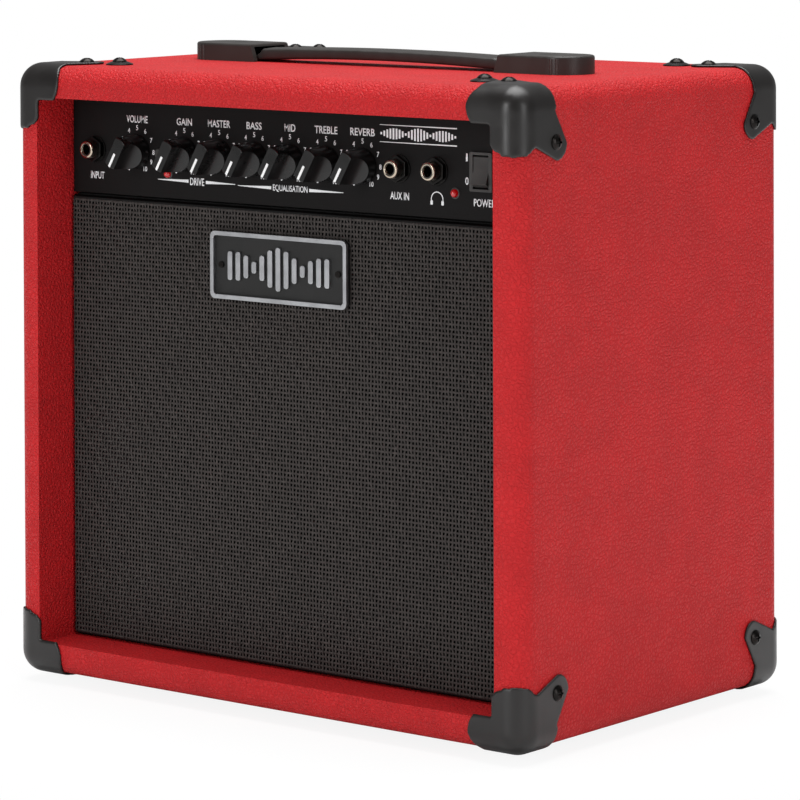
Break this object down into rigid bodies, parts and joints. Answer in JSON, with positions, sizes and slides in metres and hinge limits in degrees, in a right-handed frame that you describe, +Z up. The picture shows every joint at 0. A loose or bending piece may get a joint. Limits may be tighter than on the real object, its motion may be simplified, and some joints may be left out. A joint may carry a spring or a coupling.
{
  "type": "guitar amplifier",
  "caption": "Compact guitar combo amplifier: vinyl-covered cabinet, recessed control panel with rotary controls and jacks over a woven grille, corner protectors and a strap handle.",
  "frame": {"origin": "on the floor at the centre of the footprint", "axes": "+X to the right seen from the front, +Y from front to back, +Z up"},
  "size_m": [0.3998, 0.268, 0.393],
  "materials": {
    "wood_board": "bare medium density fibreboard",
    "board_black": "black-stained board",
    "vinyl_red": "leather-grain vinyl",
    "grille_cloth": "coarse basket weave",
    "badge_black": "satin",
    "badge_silver": "satin metallised",
    "protector_black": "fine satin moulding",
    "screw_black": "black zinc",
    "handle_plastic": "satin moulding",
    "handle_rubber": "smooth satin",
    "foot_rubber": "matte",
    "rear_board": "black covering on board",
    "panel_black": "satin black with white print",
    "tray_steel": "zinc plated",
    "washer_black": "black zinc",
    "jack_black": "moulded body with bright ring",
    "knob_black": "satin moulding",
    "led_red": "clear red lens",
    "switch_black": "satin moulding",
    "pot_metal": "plated can",
    "pcb_green": "solder mask",
    "component_dark": "sleeved parts",
    "heatsink_alu": "anodised",
    "transformer_iron": "varnished laminations and winding",
    "basket_black": "pressed steel, painted",
    "magnet_ferrite": "ferrite and plated steel",
    "surround_rubber": "matte",
    "cone_paper": "pressed paper",
    "spider_cloth": "treated cloth",
    "coil_former": "coil former"
  },
  "bodies": {
    "cabinet": {"badge_plate": "badge_black", "badge_rivets": "screw_black", "badge_trim": "badge_silver", "baffle_board": "board_black", "board_components": "component_dark", "bottom_panel": "wood_board", "cabinet_screws": "screw_black", "chassis_screws": "screw_black", "chassis_tray": "tray_steel", "circuit_board": "pcb_green", "control_panel": "panel_black", "corner_protectors_front": "protector_black", "corner_protectors_rear": "protector_black", "cup_washers": "washer_black", "drive_switch": "switch_black", "grille_cloth": "grille_cloth", "grille_frame": "board_black", "handle_cap_left": "handle_plastic", "handle_cap_right": "handle_plastic", "handle_screws": "screw_black", "heatsink": "heatsink_alu", "indicator_leds": "led_red", "jack_aux": "jack_black", "jack_footswitch": "jack_black", "jack_input": "jack_black", "jack_nuts": "washer_black", "jack_phones": "jack_black", "jack_washers": "washer_black", "mains_inlet": "switch_black", "mains_transformer": "transformer_iron", "panel_cleats": "board_black", "pot_bodies": "pot_metal", "pot_nuts": "washer_black", "power_switch_housing": "switch_black", "rear_panel_lower": "rear_board", "rear_panel_screws": "screw_black", "rear_panel_upper": "rear_board", "rubber_feet": "foot_rubber", "side_panel_left": "wood_board", "side_panel_right": "wood_board", "speaker_basket": "basket_black", "speaker_magnet": "magnet_ferrite", "speaker_screws": "screw_black", "speaker_spider": "spider_cloth", "speaker_surround": "surround_rubber", "top_panel": "wood_board", "vinyl_covering": "vinyl_red"},
    "power_rocker": {"power_rocker": "switch_black"},
    "drive_button": {"drive_button": "switch_black"},
    "speaker_cone": {"speaker_cone": "cone_paper", "dust_cap": "cone_paper", "voice_coil": "coil_former"},
    "handle_strap": {"handle_strap": "handle_rubber"},
    "knob_volume": {"knob_volume": "knob_black"},
    "knob_gain": {"knob_gain": "knob_black"},
    "knob_master": {"knob_master": "knob_black"},
    "knob_bass": {"knob_bass": "knob_black"},
    "knob_middle": {"knob_middle": "knob_black"},
    "knob_treble": {"knob_treble": "knob_black"},
    "knob_reverb": {"knob_reverb": "knob_black"}
  },
  "joints": [
    {"name": "volume_turn", "type": "hinge", "parent": "cabinet", "child": "knob_volume", "pos_m": [-0.1226, -0.1, 0.3296], "axis": [0, 1, 0], "range_deg": [0, 300]},
    {"name": "gain_turn", "type": "hinge", "parent": "cabinet", "child": "knob_gain", "pos_m": [-0.0838, -0.1, 0.3296], "axis": [0, 1, 0], "range_deg": [0, 300]},
    {"name": "master_turn", "type": "hinge", "parent": "cabinet", "child": "knob_master", "pos_m": [-0.0557, -0.1, 0.3296], "axis": [0, 1, 0], "range_deg": [0, 300]},
    {"name": "bass_turn", "type": "hinge", "parent": "cabinet", "child": "knob_bass", "pos_m": [-0.0278, -0.1, 0.3296], "axis": [0, 1, 0], "range_deg": [0, 300]},
    {"name": "middle_turn", "type": "hinge", "parent": "cabinet", "child": "knob_middle", "pos_m": [0.0003, -0.1, 0.3296], "axis": [0, 1, 0], "range_deg": [0, 300]},
    {"name": "treble_turn", "type": "hinge", "parent": "cabinet", "child": "knob_treble", "pos_m": [0.0282, -0.1, 0.3296], "axis": [0, 1, 0], "range_deg": [0, 300]},
    {"name": "reverb_turn", "type": "hinge", "parent": "cabinet", "child": "knob_reverb", "pos_m": [0.056, -0.1, 0.3296], "axis": [0, 1, 0], "range_deg": [0, 300]},
    {"name": "power_rock", "type": "hinge", "parent": "cabinet", "child": "power_rocker", "pos_m": [0.1442, -0.0968, 0.3304], "axis": [1, 0, 0], "range_deg": [0, 20]},
    {"name": "drive_press", "type": "slide", "parent": "cabinet", "child": "drive_button", "axis": [0, 1, 0], "range_m": [0, 0.0025], "stiffness_N_per_m": 300},
    {"name": "cone_travel", "type": "slide", "parent": "cabinet", "child": "speaker_cone", "axis": [0, 1, 0], "range_m": [-0.004, 0.004], "stiffness_N_per_m": 1500, "deforming": ["speaker_surround", "speaker_spider"]},
    {"name": "strap_lift", "type": "slide", "parent": "cabinet", "child": "handle_strap", "axis": [0, 0, 1], "range_m": [0, 0.004]}
  ]
}
